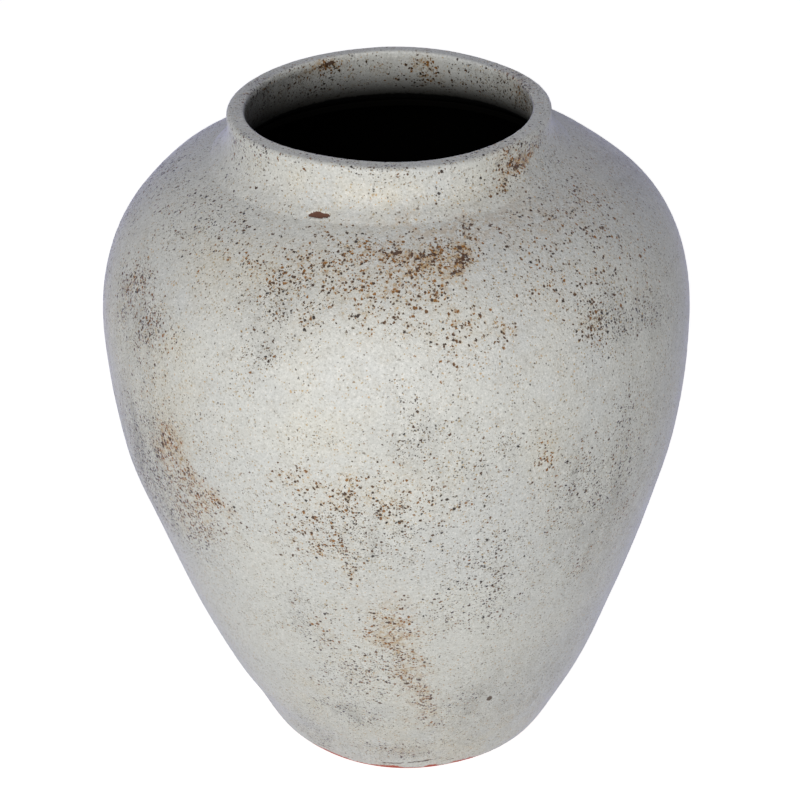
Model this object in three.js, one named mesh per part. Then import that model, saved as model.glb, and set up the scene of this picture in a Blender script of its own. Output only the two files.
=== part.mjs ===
// Floor vase of glazed earthenware: a wide-shouldered jar with a short coved collar.
// A pot this size is built in sections that are joined with slip while the clay is leather hard.
// Each section is one solid here, and the joints are the bevelled tongues and grooves that a potter cuts.
// Millimetres, +Z up, origin at the middle of the foot on the floor.
import * as THREE from "three";

// Outer form
const HEIGHT = 520;
const FOOT_RADIUS = 120;
const FOOT_SLOPE = THREE.MathUtils.degToRad(52);
const BELLY_RADIUS = 216;
const BELLY_HEIGHT = 340;
const CREASE_RADIUS = 128;
const CREASE_HEIGHT = 485;
const SHOULDER_SLOPE = THREE.MathUtils.degToRad(20);
const NECK_RADIUS = 113;
const LIP_OUTER_ROUND = 3.5;
const LIP_INNER_ROUND = 2;
const COVE_SLOPE = THREE.MathUtils.degToRad(22);
const COLLAR_STEP = 1;

// Fullness of the profile: how far each end of a curve pulls along its own direction
const FOOT_PULL = 27;
const BELLY_PULL_DOWN = 115;
const BELLY_PULL_UP = 37;
const SHOULDER_PULL = 99;

// Clay
const FOOT_WALL = 13;
const BELLY_WALL = 10.5;
const NECK_WALL = 12.5;
const SLAB_THICKNESS = 14;
const FOOT_RECESS = 7;
const FOOT_RING_WIDTH = 21;
const FOOT_EDGE_ROUND = 3;
const FOOT_RING_DRAFT = 3;

// Joints between the sections: a tongue's top covers the middle third of the wall
const LOWER_JOINT_HEIGHT = 130;
const TONGUE_RISE = 4;
const TONGUE_TOP = [1 / 3, 2 / 3];
const SLIP_GAP = 0.3;

// Coils of soft clay that are pressed over the joints on the inside
const COIL_GAP = 0.6;
const COIL_HALF_WIDTH = 13;
const NECK_COIL_BELOW = 22;
const NECK_COIL_ABOVE = 4;
const COIL_RISE = 4.5;
const COIL_EDGE = 1.2;
const CORNER_COIL_REACH = 19;
const CORNER_COIL_SAG = 0.32;

// Facets
const TURN_SEGMENTS = 56;
const LOWER_STEPS = 4;
const BELLY_STEPS = 7;
const SHOULDER_STEPS = 10;
const COVE_STEPS = 5;
const LIP_STEPS = 4;
const FOOT_EDGE_STEPS = 3;

const SLAB_TOP = FOOT_RECESS + SLAB_THICKNESS;

// The outer profile, as radius (x) and height (y), from the foot to the belly and on to the crease
const foot = new THREE.Vector2(FOOT_RADIUS, 0);
const belly = new THREE.Vector2(BELLY_RADIUS, BELLY_HEIGHT);
const crease = new THREE.Vector2(CREASE_RADIUS, CREASE_HEIGHT);

const flankCurve = new THREE.CubicBezierCurve(
  foot,
  new THREE.Vector2(
    FOOT_RADIUS + FOOT_PULL * Math.cos(FOOT_SLOPE),
    FOOT_PULL * Math.sin(FOOT_SLOPE),
  ),
  new THREE.Vector2(BELLY_RADIUS, BELLY_HEIGHT - BELLY_PULL_DOWN),
  belly,
);

const shoulderCurve = new THREE.CubicBezierCurve(
  belly,
  new THREE.Vector2(BELLY_RADIUS, BELLY_HEIGHT + BELLY_PULL_UP),
  new THREE.Vector2(
    CREASE_RADIUS + SHOULDER_PULL * Math.cos(SHOULDER_SLOPE),
    CREASE_HEIGHT - SHOULDER_PULL * Math.sin(SHOULDER_SLOPE),
  ),
  crease,
);

// A station runs from 0 at the foot through 1 at the belly to 2 at the crease
const BELLY_STATION = 1;
const CREASE_STATION = 2;

function wallThickness(station) {
  if (station < BELLY_STATION) return THREE.MathUtils.lerp(FOOT_WALL, BELLY_WALL, station);
  return THREE.MathUtils.lerp(BELLY_WALL, NECK_WALL, station - BELLY_STATION);
}

// A point in or beside the wall: depth is measured in from the outside, and along runs up the wall
function wallPoint(station, depth, along = 0) {
  const curve = station < BELLY_STATION ? flankCurve : shoulderCurve;
  const t = station < BELLY_STATION ? station : station - BELLY_STATION;
  const upWall = curve.getTangent(t);
  const inward = new THREE.Vector2(-upWall.y, upWall.x);
  return curve.getPoint(t).addScaledVector(inward, depth).addScaledVector(upWall, along);
}

// The station where the outside (share 0) or the inside (share 1) of the wall is at a height
function stationAt(height, share = 0) {
  const halvings = 40;
  let low = 0;
  let high = CREASE_STATION;
  for (let halving = 0; halving < halvings; halving += 1) {
    const middle = (low + high) / 2;
    if (wallPoint(middle, share * wallThickness(middle)).y < height) low = middle;
    else high = middle;
  }
  return (low + high) / 2;
}

// One face of the wall between two stations, both ends included
function wallFace(from, to, steps, share, alongFrom, alongTo) {
  return Array.from({ length: steps + 1 }, (_, step) => {
    const station = THREE.MathUtils.lerp(from, to, step / steps);
    const along = step === 0 ? alongFrom : step === steps ? alongTo : 0;
    return wallPoint(station, share * wallThickness(station), along);
  });
}

// The flat top of the tongue on a joint square to the wall, from its outer edge to its inner edge
function jointTongue(station, along) {
  const thickness = wallThickness(station);
  return TONGUE_TOP.map((share) => wallPoint(station, share * thickness, along + TONGUE_RISE));
}

// The tongue on a level joint between two radii, which points down where its rise is negative
function levelTongue(outer, inner, height, rise = TONGUE_RISE) {
  return TONGUE_TOP.map(
    (share) => new THREE.Vector2(THREE.MathUtils.lerp(outer, inner, share), height + rise),
  );
}

// An arc of a circle between two angles, the short way from the first to the second
function arc(x, y, radius, from, to) {
  return new THREE.EllipseCurve(x, y, radius, radius, from, to, to < from);
}

// Turns a profile that is closed on itself, or that ends on the axis, into a solid about Z
function turned(name, profile, material) {
  const onAxis = profile[0].x === 0;
  const outline = onAxis ? profile : [...profile, profile[0].clone()];
  const geometry = new THREE.LatheGeometry(outline, TURN_SEGMENTS);
  geometry.rotateX(Math.PI / 2);
  const mesh = new THREE.Mesh(geometry, material);
  mesh.name = name;
  return mesh;
}

const glaze = (color) => new THREE.MeshStandardMaterial({ color, roughness: 0.55, metalness: 0 });
const bareClay = (color) => new THREE.MeshStandardMaterial({ color, roughness: 0.9, metalness: 0 });

// The joint below the belly; the next ones are at the belly's widest place and at the crease
const lowerJoint = stationAt(LOWER_JOINT_HEIGHT);
const halfGap = SLIP_GAP / 2;

// The foot ring: a flattened coil under the slab, with a rounded outer edge and a drafted inner side
function footRing() {
  const top = FOOT_RECESS - halfGap;
  const outerTop = wallPoint(stationAt(top), 0);
  const edge = arc(FOOT_RADIUS - FOOT_EDGE_ROUND, FOOT_EDGE_ROUND, FOOT_EDGE_ROUND, -Math.PI / 2, 0);
  const innerFoot = FOOT_RADIUS - FOOT_RING_WIDTH;
  const innerTop = innerFoot - FOOT_RING_DRAFT;
  return [
    new THREE.Vector2(innerFoot, 0),
    ...edge.getPoints(FOOT_EDGE_STEPS),
    outerTop,
    ...levelTongue(outerTop.x, innerTop, top),
    new THREE.Vector2(innerTop, top),
  ];
}

// The base slab: a disc whose edge carries on the outside of the wall, grooved for the foot ring and the wall
function baseSlab() {
  const bottom = FOOT_RECESS + halfGap;
  const top = SLAB_TOP - halfGap;
  const outerBottom = wallPoint(stationAt(bottom), 0);
  const outerTop = wallPoint(stationAt(top), 0);
  const grooveInner = FOOT_RADIUS - FOOT_RING_WIDTH - FOOT_RING_DRAFT;
  const wallStation = stationAt(top, 1);
  const wallInner = wallPoint(wallStation, wallThickness(wallStation)).x;
  return [
    new THREE.Vector2(0, bottom),
    new THREE.Vector2(grooveInner, bottom),
    ...levelTongue(grooveInner, outerBottom.x, bottom),
    outerBottom,
    outerTop,
    ...levelTongue(outerTop.x, wallInner, top, -TONGUE_RISE),
    new THREE.Vector2(wallInner, top),
    new THREE.Vector2(0, top),
  ];
}

// The lower wall stands in the slab's groove with a level tongued edge
function lowerWall() {
  const bottom = SLAB_TOP + halfGap;
  const outerStart = stationAt(bottom);
  const innerStart = stationAt(bottom, 1);
  const outer = wallFace(outerStart, lowerJoint, LOWER_STEPS, 0, 0, -halfGap);
  const inner = wallFace(lowerJoint, innerStart, LOWER_STEPS, 1, -halfGap, 0);
  return [
    ...outer,
    ...jointTongue(lowerJoint, -halfGap),
    ...inner,
    ...levelTongue(inner.at(-1).x, outer[0].x, bottom, -TONGUE_RISE),
  ];
}

// A wall section between two joints that are square to the wall
function wallSection(from, to, steps) {
  return [
    ...wallFace(from, to, steps, 0, halfGap, -halfGap),
    ...jointTongue(to, -halfGap),
    ...wallFace(to, from, steps, 1, -halfGap, halfGap),
    ...jointTongue(from, halfGap).reverse(),
  ];
}

// The collar: a cove that rises from a small step at the crease, a short upright neck and a flat lip whose
// edges are rounded, the inner one more tightly
function neckCollar() {
  const seat = wallPoint(CREASE_STATION, 0, halfGap);
  const stepTop = wallPoint(CREASE_STATION, -COLLAR_STEP, halfGap);
  const coveRadius = (stepTop.x - NECK_RADIUS) / (1 - Math.sin(COVE_SLOPE));
  const coveX = NECK_RADIUS + coveRadius;
  const coveY = stepTop.y + coveRadius * Math.cos(COVE_SLOPE);
  const coveStart = Math.atan2(stepTop.y - coveY, stepTop.x - coveX) + 2 * Math.PI;
  const outerCove = arc(coveX, coveY, coveRadius, coveStart, Math.PI);
  const innerCove = arc(coveX, coveY, coveRadius + NECK_WALL, Math.PI, coveStart);

  const outerX = NECK_RADIUS - LIP_OUTER_ROUND;
  const innerX = NECK_RADIUS - NECK_WALL + LIP_INNER_ROUND;
  const lipOutside = arc(outerX, HEIGHT - LIP_OUTER_ROUND, LIP_OUTER_ROUND, 0, Math.PI / 2);
  const lipInside = arc(innerX, HEIGHT - LIP_INNER_ROUND, LIP_INNER_ROUND, Math.PI / 2, Math.PI);

  return [
    seat,
    ...outerCove.getPoints(COVE_STEPS),
    ...lipOutside.getPoints(LIP_STEPS),
    ...lipInside.getPoints(LIP_STEPS),
    ...innerCove.getPoints(COVE_STEPS),
    wallPoint(CREASE_STATION, NECK_WALL, halfGap),
    ...jointTongue(CREASE_STATION, halfGap).reverse(),
  ];
}

// The station that lies a distance up or down the wall from another
function stationBeside(station, distance) {
  if (distance === 0) return station;
  const smallStep = 0.01;
  const step = smallStep * Math.sign(distance);
  const stepLength = wallPoint(station, 0).distanceTo(wallPoint(station + step, 0));
  return station + (Math.abs(distance) / stepLength) * step;
}

// A coil over a joint on the inside of the wall: a low mound with blunt edges
function jointCoil(station, below, above) {
  const section = [
    [-below, COIL_EDGE],
    [-below / 2, COIL_RISE],
    [above / 2, COIL_RISE],
    [above, COIL_EDGE],
  ];
  const coilPoint = (distance, rise) => {
    const pastCrease = station === CREASE_STATION ? Math.max(distance, 0) : 0;
    const place = stationBeside(station, distance - pastCrease);
    return wallPoint(place, wallThickness(place) + COIL_GAP + rise, pastCrease);
  };
  const back = [-below, 0, above].map((distance) => coilPoint(distance, 0));
  const mound = section.reverse().map(([distance, rise]) => coilPoint(distance, rise));
  return [...back, ...mound];
}

// The coil in the corner of slab and lower wall: a hollow fillet with blunt edges
function cornerCoil() {
  const floor = SLAB_TOP + SLIP_GAP;
  const corner = stationAt(floor, 1);
  const face = wallThickness(corner) + COIL_GAP;
  const heel = wallPoint(corner, face);
  const wallEnd = wallPoint(corner, face, CORNER_COIL_REACH);
  const wallEdge = wallPoint(corner, face + COIL_EDGE, CORNER_COIL_REACH);
  const floorEnd = new THREE.Vector2(heel.x - CORNER_COIL_REACH, heel.y);
  const floorEdge = new THREE.Vector2(floorEnd.x, floorEnd.y + COIL_EDGE);
  const hollow = new THREE.QuadraticBezierCurve(
    wallEdge,
    wallEdge.clone().lerp(floorEdge, 1 / 2).lerp(heel, CORNER_COIL_SAG),
    floorEdge,
  );
  return [floorEnd, heel, wallEnd, ...hollow.getPoints(2)];
}

const vase = new THREE.Group();
vase.name = "floor_vase";
vase.add(
  turned("foot_ring", footRing(), bareClay("#9a5f46")),
  turned("base_slab", baseSlab(), bareClay("#9a5f46")),
  turned("lower_wall", lowerWall(), glaze("#c6c6bd")),
  turned("belly_wall", wallSection(lowerJoint, BELLY_STATION, BELLY_STEPS), glaze("#cacac2")),
  turned("shoulder_wall", wallSection(BELLY_STATION, CREASE_STATION, SHOULDER_STEPS), glaze("#c8c9c2")),
  turned("neck_collar", neckCollar(), glaze("#cfcfc8")),
  turned("base_corner_coil", cornerCoil(), bareClay("#5a4034")),
  turned("lower_joint_coil", jointCoil(lowerJoint, COIL_HALF_WIDTH, COIL_HALF_WIDTH), bareClay("#5a4034")),
  turned("belly_joint_coil", jointCoil(BELLY_STATION, COIL_HALF_WIDTH, COIL_HALF_WIDTH), bareClay("#5a4034")),
  turned("neck_joint_coil", jointCoil(CREASE_STATION, NECK_COIL_BELOW, NECK_COIL_ABOVE), bareClay("#5a4034")),
);

export default vase;
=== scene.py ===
# Floor vase of coarse earthenware under a distressed off-white glaze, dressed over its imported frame.
# Named sizes are millimetres and degrees, meshes are metres, +Z is up and -Y is the photographed front.
import math

import bpy
import numpy as np
from mathutils import Matrix, Vector


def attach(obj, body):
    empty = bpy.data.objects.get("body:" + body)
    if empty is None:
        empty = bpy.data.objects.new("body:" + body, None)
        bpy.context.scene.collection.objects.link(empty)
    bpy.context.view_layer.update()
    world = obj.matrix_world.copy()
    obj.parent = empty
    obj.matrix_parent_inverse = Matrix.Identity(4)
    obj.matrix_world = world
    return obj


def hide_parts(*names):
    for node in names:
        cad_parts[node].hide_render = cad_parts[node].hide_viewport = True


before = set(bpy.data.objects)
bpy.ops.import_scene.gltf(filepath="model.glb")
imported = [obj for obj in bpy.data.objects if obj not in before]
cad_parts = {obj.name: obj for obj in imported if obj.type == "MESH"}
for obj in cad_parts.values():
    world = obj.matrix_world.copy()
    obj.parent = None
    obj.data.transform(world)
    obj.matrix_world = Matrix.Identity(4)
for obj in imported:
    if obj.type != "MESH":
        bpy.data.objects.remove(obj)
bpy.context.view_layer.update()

MM = 0.001
TINY = 1e-12

# Outer form, with the driving dimensions of the solids
HEIGHT = 520.0
FOOT_RADIUS = 120.0
FOOT_SLOPE = 52.0
BELLY_RADIUS = 216.0
BELLY_HEIGHT = 340.0
CREASE_RADIUS = 128.0
CREASE_HEIGHT = 485.0
SHOULDER_SLOPE = 20.0
NECK_RADIUS = 113.0
LIP_OUTER_ROUND = 3.5
LIP_INNER_ROUND = 2.0
COVE_SLOPE = 22.0
COLLAR_STEP = 1.0
STEP_WIDTH = 8.0
FOOT_PULL = 27.0
BELLY_PULL_DOWN = 115.0
BELLY_PULL_UP = 37.0
SHOULDER_PULL = 99.0

# Sag of the lip: how deep, which way, and where along that way it begins and ends
LIP_SAG = 3.7
LIP_SAG_TURN = 75.0
LIP_SAG_FROM = -35.0
LIP_SAG_TO = 70.0

# Clay and joints
FOOT_WALL = 13.0
BELLY_WALL = 10.5
NECK_WALL = 12.5
FOOT_RECESS = 7.0
SLAB_TOP = 21.0
FOOT_RING_WIDTH = 21.0
FOOT_RING_DRAFT = 3.0
FOOT_EDGE_ROUND = 3.0
LOWER_JOINT_HEIGHT = 130.0
TONGUE_RISE = 4.0
TONGUE_TOP = (1 / 3, 2 / 3)
HALF_GAP = 0.15

# Fineness of the turned meshes
TURN_STEPS = 720
WALL_ROW = 2.0
COLLAR_ROW = 1.1
STEP_ROW = 0.8
INSIDE_ROW = 14.0
PATH_RADIUS = 50.0
DENSE_STATIONS = 4001
FOOT_UNDER_ROWS = 9
FOOT_EDGE_ROWS = 9
FOOT_SIDE_ROWS = 6
SLAB_UNDER_ROWS = 44
SLAB_FLOOR_ROWS = 12
NECK_ROWS = 6
LIP_OUTER_ROWS = 9
LIP_ROWS = 5
LIP_INNER_ROWS = 8
BORE_ROWS = 7

# Surface relief
RELIEF_SIZES = {
    "Swell Size": 90.0, "Swell Depth": 0.7, "Peel Size": 4.5, "Peel Depth": 0.24,
    "Scar Size": 3.6, "Scar Depth": 0.5, "Chip Depth": 1.3,
}
NOISE_SEED = 7


def linear(hex_colour):
    """An sRGB hex colour as linear RGBA."""
    parts = [int(hex_colour[i:i + 2], 16) / 255 for i in (1, 3, 5)]
    return [p / 12.92 if p <= 0.04045 else ((p + 0.055) / 1.055) ** 2.4 for p in parts] + [1.0]


def add(tree, kind, inputs=None, **settings):
    """Adds a node with its settings. An input takes a value, a socket, or a node's first live output."""
    node = tree.nodes.new(kind)
    for name, value in settings.items():
        setattr(node, name, value)
    for key, value in (inputs or {}).items():
        live = [s for s in node.inputs if s.enabled and s.name == key]
        socket = node.inputs[key] if isinstance(key, int) else live[0]
        if isinstance(value, bpy.types.Node):
            value = next(s for s in value.outputs if s.enabled)
        if isinstance(value, bpy.types.NodeSocket):
            tree.links.new(value, socket)
        else:
            socket.default_value = value
    return node


def placed(name, data):
    """A new object in the scene."""
    made = bpy.data.objects.new(name, data)
    bpy.context.scene.collection.objects.link(made)
    return made


# The wall's outside, as radius and height, from the foot through the belly to the crease

def bezier(ends, t):
    """Points of a cubic curve and its unit tangents."""
    p = np.array(ends, float)
    t = np.asarray(t, float)[:, None]
    s = 1 - t
    points = s**3 * p[0] + 3 * s**2 * t * p[1] + 3 * s * t**2 * p[2] + t**3 * p[3]
    along = s**2 * (p[1] - p[0]) + 2 * s * t * (p[2] - p[1]) + t**2 * (p[3] - p[2])
    return points, along / np.linalg.norm(along, axis=1, keepdims=True)


def pulled(x, y, pull, slope):
    """The point that a pull reaches from a place, up a slope in degrees."""
    return x + pull * math.cos(math.radians(slope)), y + pull * math.sin(math.radians(slope))


FLANK = (
    (FOOT_RADIUS, 0.0),
    pulled(FOOT_RADIUS, 0.0, FOOT_PULL, FOOT_SLOPE),
    (BELLY_RADIUS, BELLY_HEIGHT - BELLY_PULL_DOWN),
    (BELLY_RADIUS, BELLY_HEIGHT),
)
SHOULDER = (
    (BELLY_RADIUS, BELLY_HEIGHT),
    (BELLY_RADIUS, BELLY_HEIGHT + BELLY_PULL_UP),
    pulled(CREASE_RADIUS, CREASE_HEIGHT, SHOULDER_PULL, -SHOULDER_SLOPE),
    (CREASE_RADIUS, CREASE_HEIGHT),
)
BELLY_STATION = 1.0
CREASE_STATION = 2.0


def wall(stations, share=0.0):
    """Points, outward directions and upward directions of the wall; share 1 is its inside."""
    stations = np.atleast_1d(np.asarray(stations, float))
    low = bezier(FLANK, np.clip(stations, 0, 1))
    high = bezier(SHOULDER, np.clip(stations - 1, 0, 1))
    above = (stations > BELLY_STATION)[:, None]
    points = np.where(above, high[0], low[0])
    along = np.where(above, high[1], low[1])
    outward = np.stack([along[:, 1], -along[:, 0]], axis=1)
    thickness = np.interp(stations, [0, BELLY_STATION, CREASE_STATION], [FOOT_WALL, BELLY_WALL, NECK_WALL])
    return points - outward * (share * thickness)[:, None], outward, along


DENSE = np.linspace(0, CREASE_STATION, DENSE_STATIONS)
DENSE_POINTS = wall(DENSE)[0]
DENSE_INSIDE = wall(DENSE, 1.0)[0]
STEPS_UP = np.linalg.norm(np.diff(DENSE_POINTS, axis=0), axis=1)
LENGTHS = np.concatenate([[0], np.cumsum(STEPS_UP)])
WALL_LENGTH = LENGTHS[-1]


def station_at(height, inside=False):
    """The station where the wall's outside, or its inside, is at a height."""
    line = DENSE_INSIDE if inside else DENSE_POINTS
    return float(np.interp(height, line[:, 1], DENSE))


def length_at(height):
    """How far up the skin a place is; above the crease its height is already a distance over the collar."""
    if height <= CREASE_HEIGHT:
        return float(np.interp(height, DENSE_POINTS[:, 1], LENGTHS))
    return WALL_LENGTH + height - CREASE_HEIGHT


def even_stations(first, last, spacing):
    """Stations from first to last, evenly spaced along the outside."""
    ends = np.interp([first, last], DENSE, LENGTHS)
    count = max(2, round(abs(ends[1] - ends[0]) / spacing) + 1)
    return np.interp(np.linspace(*ends, count), LENGTHS, DENSE)


LOWER_JOINT = station_at(LOWER_JOINT_HEIGHT)


class Outline:
    """A closed section through one piece: points in order, each with its kind of surface and its relief."""

    def __init__(self):
        self.points = []
        self.outward = []
        self.along = []
        self.kinds = []
        self.lift = []

    def run(self, kind, points, outward=None, along=None, lift=0.0):
        """Adds points of one kind; those of a skin have a way out, a length up the skin and a relief."""
        points = np.atleast_2d(np.asarray(points, float))
        count = len(points)
        self.points.append(points)
        self.outward.append(np.zeros((count, 2)) if outward is None else outward)
        self.along.append(np.zeros(count) if along is None else along)
        self.kinds += [kind] * count
        self.lift.append(np.broadcast_to(lift, count))

    def skin(self, stations):
        """Adds the wall's outside at these stations."""
        points, outward, _ = wall(stations)
        self.run("skin", points, outward, np.interp(stations, DENSE, LENGTHS), 1.0)

    def columns(self):
        """Points, ways out, lengths up the skin, reliefs and kinds, one row for each point."""
        stacked = [np.concatenate(part) for part in (self.points, self.outward, self.along, self.lift)]
        return *stacked, np.array(self.kinds)


def tongue(outer, inner, rise):
    """The two corners of a tongue's top or a groove's bottom between the edges of a joint."""
    outer, inner = np.asarray(outer, float), np.asarray(inner, float)
    return np.array([outer + (inner - outer) * share + rise for share in TONGUE_TOP])


def square_joint(outline, station, gap, upward=True):
    """A joint square to the wall, walked from the outside in, or from the inside out."""
    outer, _, along = wall(station)
    inner = wall(station, 1.0)[0] + along * gap
    corners = tongue(outer[0], inner[0], along[0] * (TONGUE_RISE + gap))
    outline.run("joint", corners if upward else corners[::-1])


def inside_face(outline, first, last, gap_first, gap_last):
    """The inside of the wall, from one joint to the next."""
    points, _, along = wall(even_stations(first, last, INSIDE_ROW), 1.0)
    points[0] += along[0] * gap_first
    points[-1] += along[-1] * gap_last
    outline.run("inside", points)


def arc(middle, radius, degrees):
    """Points on an arc, at angles in degrees."""
    turn = np.radians(degrees)
    return np.asarray(middle, float) + radius * np.stack([np.cos(turn), np.sin(turn)], axis=1)


def foot_ring():
    """A flattened coil: a bare flat underside, a round lower edge and a tongue for the slab."""
    top = FOOT_RECESS - HALF_GAP
    skin_top, skin_out, _ = wall(station_at(FOOT_RECESS))
    inner_foot = FOOT_RADIUS - FOOT_RING_WIDTH
    inner_top = inner_foot - FOOT_RING_DRAFT
    edge_middle = FOOT_RADIUS - FOOT_EDGE_ROUND
    edge_turn = np.linspace(-90, 0, FOOT_EDGE_ROWS)
    edge = arc((edge_middle, FOOT_EDGE_ROUND), FOOT_EDGE_ROUND, edge_turn)
    share = np.linspace(0, 1, FOOT_SIDE_ROWS + 1)[1:]
    side = edge[-1] + (skin_top[0] - edge[-1]) * share[:, None]
    under = np.linspace(inner_foot, edge_middle, FOOT_UNDER_ROWS + 1)[:-1]
    walked = length_at(FOOT_RECESS) - FOOT_RECESS
    outline = Outline()
    outline.run("bare", np.stack([under, np.zeros(FOOT_UNDER_ROWS)], axis=1))
    outline.run("skin", edge, arc((0, 0), 1.0, edge_turn), walked + edge[:, 1])
    outline.run("skin", side, np.repeat(skin_out, FOOT_SIDE_ROWS, axis=0), walked + side[:, 1], share)
    outline.run("joint", tongue((side[-1][0], top), (inner_top, top), np.array([0, TONGUE_RISE])))
    outline.run("joint", [(inner_top, top)])
    return outline


def base_slab():
    """The floor disc, grooved below for the foot ring and above for the wall."""
    bottom = FOOT_RECESS + HALF_GAP
    top = SLAB_TOP - HALF_GAP
    groove_inner = FOOT_RADIUS - FOOT_RING_WIDTH - FOOT_RING_DRAFT
    stations = even_stations(station_at(FOOT_RECESS), station_at(SLAB_TOP), WALL_ROW)
    outer = wall(stations)[0]
    wall_inner = wall(station_at(top, inside=True), 1.0)[0][0][0]
    under = np.linspace(0, groove_inner, SLAB_UNDER_ROWS)
    inside = np.linspace(wall_inner, 0, SLAB_FLOOR_ROWS)
    outline = Outline()
    outline.run("bare", np.stack([under, np.full(SLAB_UNDER_ROWS, bottom)], axis=1))
    outline.run("joint", tongue((groove_inner, bottom), (outer[0][0], bottom), np.array([0, TONGUE_RISE])))
    outline.skin(stations)
    outline.run("joint", tongue((outer[-1][0], top), (wall_inner, top), np.array([0, -TONGUE_RISE])))
    outline.run("inside", np.stack([inside, np.full(SLAB_FLOOR_ROWS, top)], axis=1))
    return outline


def lower_wall():
    """The first wall section, from a tongue in the slab to the joint below the belly."""
    bottom = SLAB_TOP + HALF_GAP
    outline = Outline()
    outline.skin(even_stations(station_at(SLAB_TOP), LOWER_JOINT, WALL_ROW))
    square_joint(outline, LOWER_JOINT, -HALF_GAP)
    inside_face(outline, LOWER_JOINT, station_at(bottom, inside=True), -HALF_GAP, 0.0)
    inner = wall(station_at(bottom, inside=True), 1.0)[0][0]
    outer = wall(station_at(SLAB_TOP))[0][0]
    outline.run("joint", tongue((inner[0], bottom), (outer[0], bottom), np.array([0, -TONGUE_RISE])))
    return outline


def wall_section(first, last):
    """A wall section between two joints that are square to the wall."""
    outline = Outline()
    outline.skin(even_stations(first, last, WALL_ROW))
    square_joint(outline, last, -HALF_GAP)
    inside_face(outline, last, first, -HALF_GAP, HALF_GAP)
    square_joint(outline, first, HALF_GAP, upward=False)
    return outline


def between(first, last, count):
    """Points evenly spaced between two places, both left out."""
    first, last = np.asarray(first, float), np.asarray(last, float)
    return first + (last - first) * np.linspace(0, 1, count + 2)[1:-1, None]


def eased(value, low, high):
    """Rises smoothly from 0 at low to 1 at high."""
    share = np.clip((value - low) / (high - low), 0, 1)
    return share * share * (3 - 2 * share)


def neck_collar():
    """A cove with a soft step at the crease, then a short upright neck and a flat lip with round edges."""
    seat, seat_out, seat_along = (part[0] for part in wall(CREASE_STATION))
    step_top = seat + seat_out * COLLAR_STEP
    slope = math.radians(COVE_SLOPE)
    cove_radius = (step_top[0] - NECK_RADIUS) / (1 - math.sin(slope))
    middle = np.array([NECK_RADIUS + cove_radius, step_top[1] + cove_radius * math.cos(slope)])
    cove_start = math.degrees(math.atan2(step_top[1] - middle[1], step_top[0] - middle[0])) + 360
    cove_rows = round(cove_radius * math.radians(cove_start - 180) / COLLAR_ROW) + 1
    cove_turn = np.linspace(cove_start, 180, cove_rows)

    # The step eases from the shoulder's line to the cove over a few rows
    past_step = cove_start - math.degrees(STEP_WIDTH / cove_radius)
    cove = arc(middle, cove_radius, cove_turn[cove_turn < past_step])
    share = np.linspace(0, 1, round(STEP_WIDTH / STEP_ROW) + 1)[:-1, None]
    flat = seat + (cove[0] - seat_out * COLLAR_STEP - seat) * share
    step = flat + seat_out * COLLAR_STEP * eased(share, 0, 1)

    outer_middle = (NECK_RADIUS - LIP_OUTER_ROUND, HEIGHT - LIP_OUTER_ROUND)
    outer_edge = arc(outer_middle, LIP_OUTER_ROUND, np.linspace(0, 90, LIP_OUTER_ROWS))
    inner_middle = (NECK_RADIUS - NECK_WALL + LIP_INNER_ROUND, HEIGHT - LIP_INNER_ROUND)
    inner_edge = arc(inner_middle, LIP_INNER_ROUND, np.linspace(90, 180, LIP_INNER_ROWS))
    neck = between(cove[-1], outer_edge[0], NECK_ROWS)
    lip = between(outer_edge[-1], inner_edge[0], LIP_ROWS)
    outside = np.concatenate([step, cove, neck, outer_edge, lip, inner_edge])
    inner_cove = arc(middle, cove_radius + NECK_WALL, cove_turn[::-1])
    inside = np.concatenate([between(inner_edge[-1], inner_cove[0], BORE_ROWS), inner_cove])

    skin = np.concatenate([outside, inside])
    ahead = np.gradient(skin, axis=0)
    outward = np.stack([ahead[:, 1], -ahead[:, 0]], axis=1)
    outward /= np.linalg.norm(outward, axis=1, keepdims=True)
    outward[0] = seat_out
    along = WALL_LENGTH + np.concatenate([[0], np.cumsum(np.linalg.norm(np.diff(skin, axis=0), axis=1))])
    rim = len(outside)
    outline = Outline()
    outline.run("skin", outside, outward[:rim], along[:rim], 1.0)
    outline.run("neck", inside, outward[rim:], along[rim:], np.linspace(1, 0, len(inside)))
    outline.run("inside", [wall(CREASE_STATION, 1.0)[0][0] + seat_along * HALF_GAP])
    square_joint(outline, CREASE_STATION, HALF_GAP, upward=False)
    return outline


# Geometry Nodes: points nearer than this, in metres, are one
TOUCHING = 1e-6


def new_tree(name, sizes):
    """A tree with a geometry, named sizes and a finish; returns it, its input node and the identifiers."""
    tree = bpy.data.node_groups.new(name, "GeometryNodeTree")
    tree.interface.new_socket("Geometry", in_out="INPUT", socket_type="NodeSocketGeometry")
    known = {}
    for size, kind in sizes.items():
        known[size] = tree.interface.new_socket(size, in_out="INPUT", socket_type=kind).identifier
    finish = tree.interface.new_socket("Finish", in_out="INPUT", socket_type="NodeSocketMaterial")
    known["Finish"] = finish.identifier
    tree.interface.new_socket("Geometry", in_out="OUTPUT", socket_type="NodeSocketGeometry")
    return tree, add(tree, "NodeGroupInput"), known


def end_tree(tree, given, geometry):
    """Ends a tree in real geometry with its finish."""
    real = add(tree, "GeometryNodeRealizeInstances", {"Geometry": geometry})
    finished = add(tree, "GeometryNodeSetMaterial", {"Geometry": real, "Material": given.outputs["Finish"]})
    add(tree, "NodeGroupOutput", {"Geometry": finished})


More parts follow.
